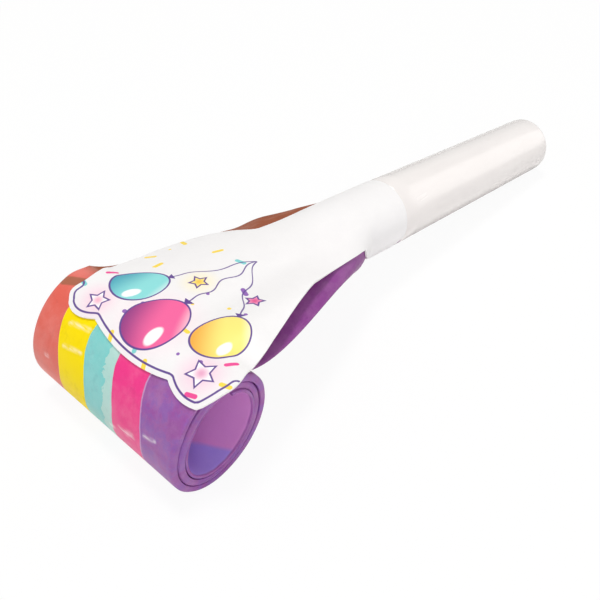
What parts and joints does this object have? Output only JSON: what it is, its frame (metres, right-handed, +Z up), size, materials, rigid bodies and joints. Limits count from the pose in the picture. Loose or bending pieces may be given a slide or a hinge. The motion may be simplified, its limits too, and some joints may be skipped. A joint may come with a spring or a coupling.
{
  "type": "party horn blower",
  "caption": "Party horn blower: a rolled rainbow-striped paper tube that unrolls and recoils, under a white printed card hood, on a tapered white plastic mouthpiece with a reed.",
  "frame": {"origin": "middle of the bounding box, on the table that the roll and the mouth end lie on", "axes": "+X along the blower towards the mouth end, +Y across the roll, +Z up"},
  "size_m": [0.1278, 0.0391, 0.0219],
  "materials": {
    "mouthpiece_plastic": "gloss",
    "reed_plastic": "satin",
    "reed_film": "satin",
    "striped_paper": "satin",
    "white_card": "satin",
    "white_paper": "matte",
    "spring_strip": "satin"
  },
  "bodies": {
    "horn_body": {"mouthpiece": "mouthpiece_plastic", "reed_plug": "reed_plastic", "reed_wedge": "reed_plastic", "paper_tube_throat": "striped_paper", "recoil_strip_root": "spring_strip", "card_hood": "white_card"},
    "reed": {"reed_tongue": "reed_film"},
    "fold_01": {"paper_tube_fold_01": "striped_paper", "recoil_strip_01": "spring_strip", "card_hood_front": "white_card"},
    "fold_02": {"paper_tube_fold_02": "striped_paper", "recoil_strip_02": "spring_strip"},
    "fold_03": {"paper_tube_fold_03": "striped_paper", "recoil_strip_03": "spring_strip"},
    "fold_04": {"paper_tube_fold_04": "striped_paper", "recoil_strip_04": "spring_strip"},
    "fold_05": {"paper_tube_fold_05": "striped_paper", "recoil_strip_05": "spring_strip"},
    "fold_06": {"paper_tube_fold_06": "striped_paper", "recoil_strip_06": "spring_strip"},
    "fold_07": {"paper_tube_fold_07": "striped_paper", "recoil_strip_07": "spring_strip"},
    "fold_08": {"paper_tube_fold_08": "striped_paper", "recoil_strip_08": "spring_strip"},
    "fold_09": {"paper_tube_fold_09": "striped_paper", "recoil_strip_09": "spring_strip"},
    "fold_10": {"paper_tube_fold_10": "striped_paper", "recoil_strip_10": "spring_strip"},
    "fold_11": {"paper_tube_fold_11": "striped_paper", "recoil_strip_11": "spring_strip"},
    "fold_12": {"paper_tube_fold_12": "striped_paper", "recoil_strip_12": "spring_strip"},
    "fold_13": {"paper_tube_fold_13": "striped_paper", "recoil_strip_13": "spring_strip"},
    "fold_14": {"paper_tube_fold_14": "striped_paper", "recoil_strip_14": "spring_strip"},
    "fold_15": {"paper_tube_fold_15": "striped_paper", "recoil_strip_15": "spring_strip"},
    "fold_16": {"paper_tube_fold_16": "striped_paper", "recoil_strip_16": "spring_strip"},
    "fold_17": {"paper_tube_fold_17": "striped_paper", "recoil_strip_17": "spring_strip"},
    "fold_18": {"paper_tube_fold_18": "striped_paper", "recoil_strip_18": "spring_strip"},
    "fold_19": {"paper_tube_fold_19": "striped_paper", "recoil_strip_19": "spring_strip"},
    "fold_20": {"paper_tube_fold_20": "striped_paper", "recoil_strip_20": "spring_strip"},
    "fold_21": {"paper_tube_fold_21": "striped_paper", "recoil_strip_21": "spring_strip"},
    "fold_22": {"paper_tube_fold_22": "striped_paper", "recoil_strip_22": "spring_strip"},
    "fold_23": {"paper_tube_fold_23": "striped_paper", "recoil_strip_23": "spring_strip"},
    "fold_24": {"paper_tube_fold_24": "striped_paper", "recoil_strip_24": "spring_strip", "tip_seal": "white_paper"}
  },
  "joints": [
    {"name": "reed_beat", "type": "hinge", "parent": "horn_body", "child": "reed", "pos_m": [0.01505, 0.00115, 0.01213], "axis": [0, -1, 0], "range_deg": [-2.3, 2.5], "stiffness_Nm_per_rad": 0.0003},
    {"name": "unroll", "type": "hinge", "parent": "horn_body", "child": "fold_01", "pos_m": [-0.05089, 0.00115, 0.02142], "axis": [0, 1, 0], "range_deg": [0, 22.5], "stiffness_Nm_per_rad": 0.005, "springref_deg": -22.92},
    {"name": "unroll_fold_02", "type": "hinge", "parent": "fold_01", "child": "fold_02", "pos_m": [-0.05887, 0.00115, 0.01899], "axis": [0, 1, 0], "range_deg": [0, 45]},
    {"name": "unroll_fold_03", "type": "hinge", "parent": "fold_02", "child": "fold_03", "pos_m": [-0.06377, 0.00115, 0.01038], "axis": [0, 1, 0], "range_deg": [0, 45]},
    {"name": "unroll_fold_04", "type": "hinge", "parent": "fold_03", "child": "fold_04", "pos_m": [-0.06192, 0.00115, 0.00308], "axis": [0, 1, 0], "range_deg": [0, 45]},
    {"name": "unroll_fold_05", "type": "hinge", "parent": "fold_04", "child": "fold_05", "pos_m": [-0.05652, 0.00115, 0.00006], "axis": [0, 1, 0], "range_deg": [0, 45]},
    {"name": "unroll_fold_06", "type": "hinge", "parent": "fold_05", "child": "fold_06", "pos_m": [-0.04902, 0.00115, 0.00236], "axis": [0, 1, 0], "range_deg": [0, 45]},
    {"name": "unroll_fold_07", "type": "hinge", "parent": "fold_06", "child": "fold_07", "pos_m": [-0.04436, 0.00115, 0.01054], "axis": [0, 1, 0], "range_deg": [0, 45]},
    {"name": "unroll_fold_08", "type": "hinge", "parent": "fold_07", "child": "fold_08", "pos_m": [-0.04608, 0.00115, 0.01736], "axis": [0, 1, 0], "range_deg": [0, 45]},
    {"name": "unroll_fold_09", "type": "hinge", "parent": "fold_08", "child": "fold_09", "pos_m": [-0.05104, 0.00115, 0.02014], "axis": [0, 1, 0], "range_deg": [0, 45]},
    {"name": "unroll_fold_10", "type": "hinge", "parent": "fold_09", "child": "fold_10", "pos_m": [-0.05807, 0.00115, 0.01797], "axis": [0, 1, 0], "range_deg": [0, 45]},
    {"name": "unroll_fold_11", "type": "hinge", "parent": "fold_10", "child": "fold_11", "pos_m": [-0.06248, 0.00115, 0.01022], "axis": [0, 1, 0], "range_deg": [0, 45]},
    {"name": "unroll_fold_12", "type": "hinge", "parent": "fold_11", "child": "fold_12", "pos_m": [-0.0609, 0.00115, 0.00388], "axis": [0, 1, 0], "range_deg": [0, 45]},
    {"name": "unroll_fold_13", "type": "hinge", "parent": "fold_12", "child": "fold_13", "pos_m": [-0.05637, 0.00115, 0.00135], "axis": [0, 1, 0], "range_deg": [0, 45]},
    {"name": "unroll_fold_14", "type": "hinge", "parent": "fold_13", "child": "fold_14", "pos_m": [-0.04982, 0.00115, 0.00338], "axis": [0, 1, 0], "range_deg": [0, 45]},
    {"name": "unroll_fold_15", "type": "hinge", "parent": "fold_14", "child": "fold_15", "pos_m": [-0.04565, 0.00115, 0.0107], "axis": [0, 1, 0], "range_deg": [0, 45]},
    {"name": "unroll_fold_16", "type": "hinge", "parent": "fold_15", "child": "fold_16", "pos_m": [-0.0471, 0.00115, 0.01656], "axis": [0, 1, 0], "range_deg": [0, 45]},
    {"name": "unroll_fold_17", "type": "hinge", "parent": "fold_16", "child": "fold_17", "pos_m": [-0.0512, 0.00115, 0.01884], "axis": [0, 1, 0], "range_deg": [0, 45]},
    {"name": "unroll_fold_18", "type": "hinge", "parent": "fold_17", "child": "fold_18", "pos_m": [-0.05726, 0.00115, 0.01695], "axis": [0, 1, 0], "range_deg": [0, 45]},
    {"name": "unroll_fold_19", "type": "hinge", "parent": "fold_18", "child": "fold_19", "pos_m": [-0.06119, 0.00115, 0.01007], "axis": [0, 1, 0], "range_deg": [0, 45]},
    {"name": "unroll_fold_20", "type": "hinge", "parent": "fold_19", "child": "fold_20", "pos_m": [-0.05987, 0.00115, 0.00469], "axis": [0, 1, 0], "range_deg": [0, 45]},
    {"name": "unroll_fold_21", "type": "hinge", "parent": "fold_20", "child": "fold_21", "pos_m": [-0.05621, 0.00115, 0.00264], "axis": [0, 1, 0], "range_deg": [0, 45]},
    {"name": "unroll_fold_22", "type": "hinge", "parent": "fold_21", "child": "fold_22", "pos_m": [-0.05062, 0.00115, 0.0044], "axis": [0, 1, 0], "range_deg": [0, 45]},
    {"name": "unroll_fold_23", "type": "hinge", "parent": "fold_22", "child": "fold_23", "pos_m": [-0.04694, 0.00115, 0.01085], "axis": [0, 1, 0], "range_deg": [0, 45]},
    {"name": "unroll_fold_24", "type": "hinge", "parent": "fold_23", "child": "fold_24", "pos_m": [-0.04812, 0.00115, 0.01575], "axis": [0, 1, 0], "range_deg": [0, 45]}
  ],
  "couplings": [
    {"joint": "unroll_fold_02", "follows": "unroll", "ratio": 2},
    {"joint": "unroll_fold_03", "follows": "unroll", "ratio": 2},
    {"joint": "unroll_fold_04", "follows": "unroll", "ratio": 2},
    {"joint": "unroll_fold_05", "follows": "unroll", "ratio": 2},
    {"joint": "unroll_fold_06", "follows": "unroll", "ratio": 2},
    {"joint": "unroll_fold_07", "follows": "unroll", "ratio": 2},
    {"joint": "unroll_fold_08", "follows": "unroll", "ratio": 2},
    {"joint": "unroll_fold_09", "follows": "unroll", "ratio": 2},
    {"joint": "unroll_fold_10", "follows": "unroll", "ratio": 2},
    {"joint": "unroll_fold_11", "follows": "unroll", "ratio": 2},
    {"joint": "unroll_fold_12", "follows": "unroll", "ratio": 2},
    {"joint": "unroll_fold_13", "follows": "unroll", "ratio": 2},
    {"joint": "unroll_fold_14", "follows": "unroll", "ratio": 2},
    {"joint": "unroll_fold_15", "follows": "unroll", "ratio": 2},
    {"joint": "unroll_fold_16", "follows": "unroll", "ratio": 2},
    {"joint": "unroll_fold_17", "follows": "unroll", "ratio": 2},
    {"joint": "unroll_fold_18", "follows": "unroll", "ratio": 2},
    {"joint": "unroll_fold_19", "follows": "unroll", "ratio": 2},
    {"joint": "unroll_fold_20", "follows": "unroll", "ratio": 2},
    {"joint": "unroll_fold_21", "follows": "unroll", "ratio": 2},
    {"joint": "unroll_fold_22", "follows": "unroll", "ratio": 2},
    {"joint": "unroll_fold_23", "follows": "unroll", "ratio": 2},
    {"joint": "unroll_fold_24", "follows": "unroll", "ratio": 2}
  ]
}
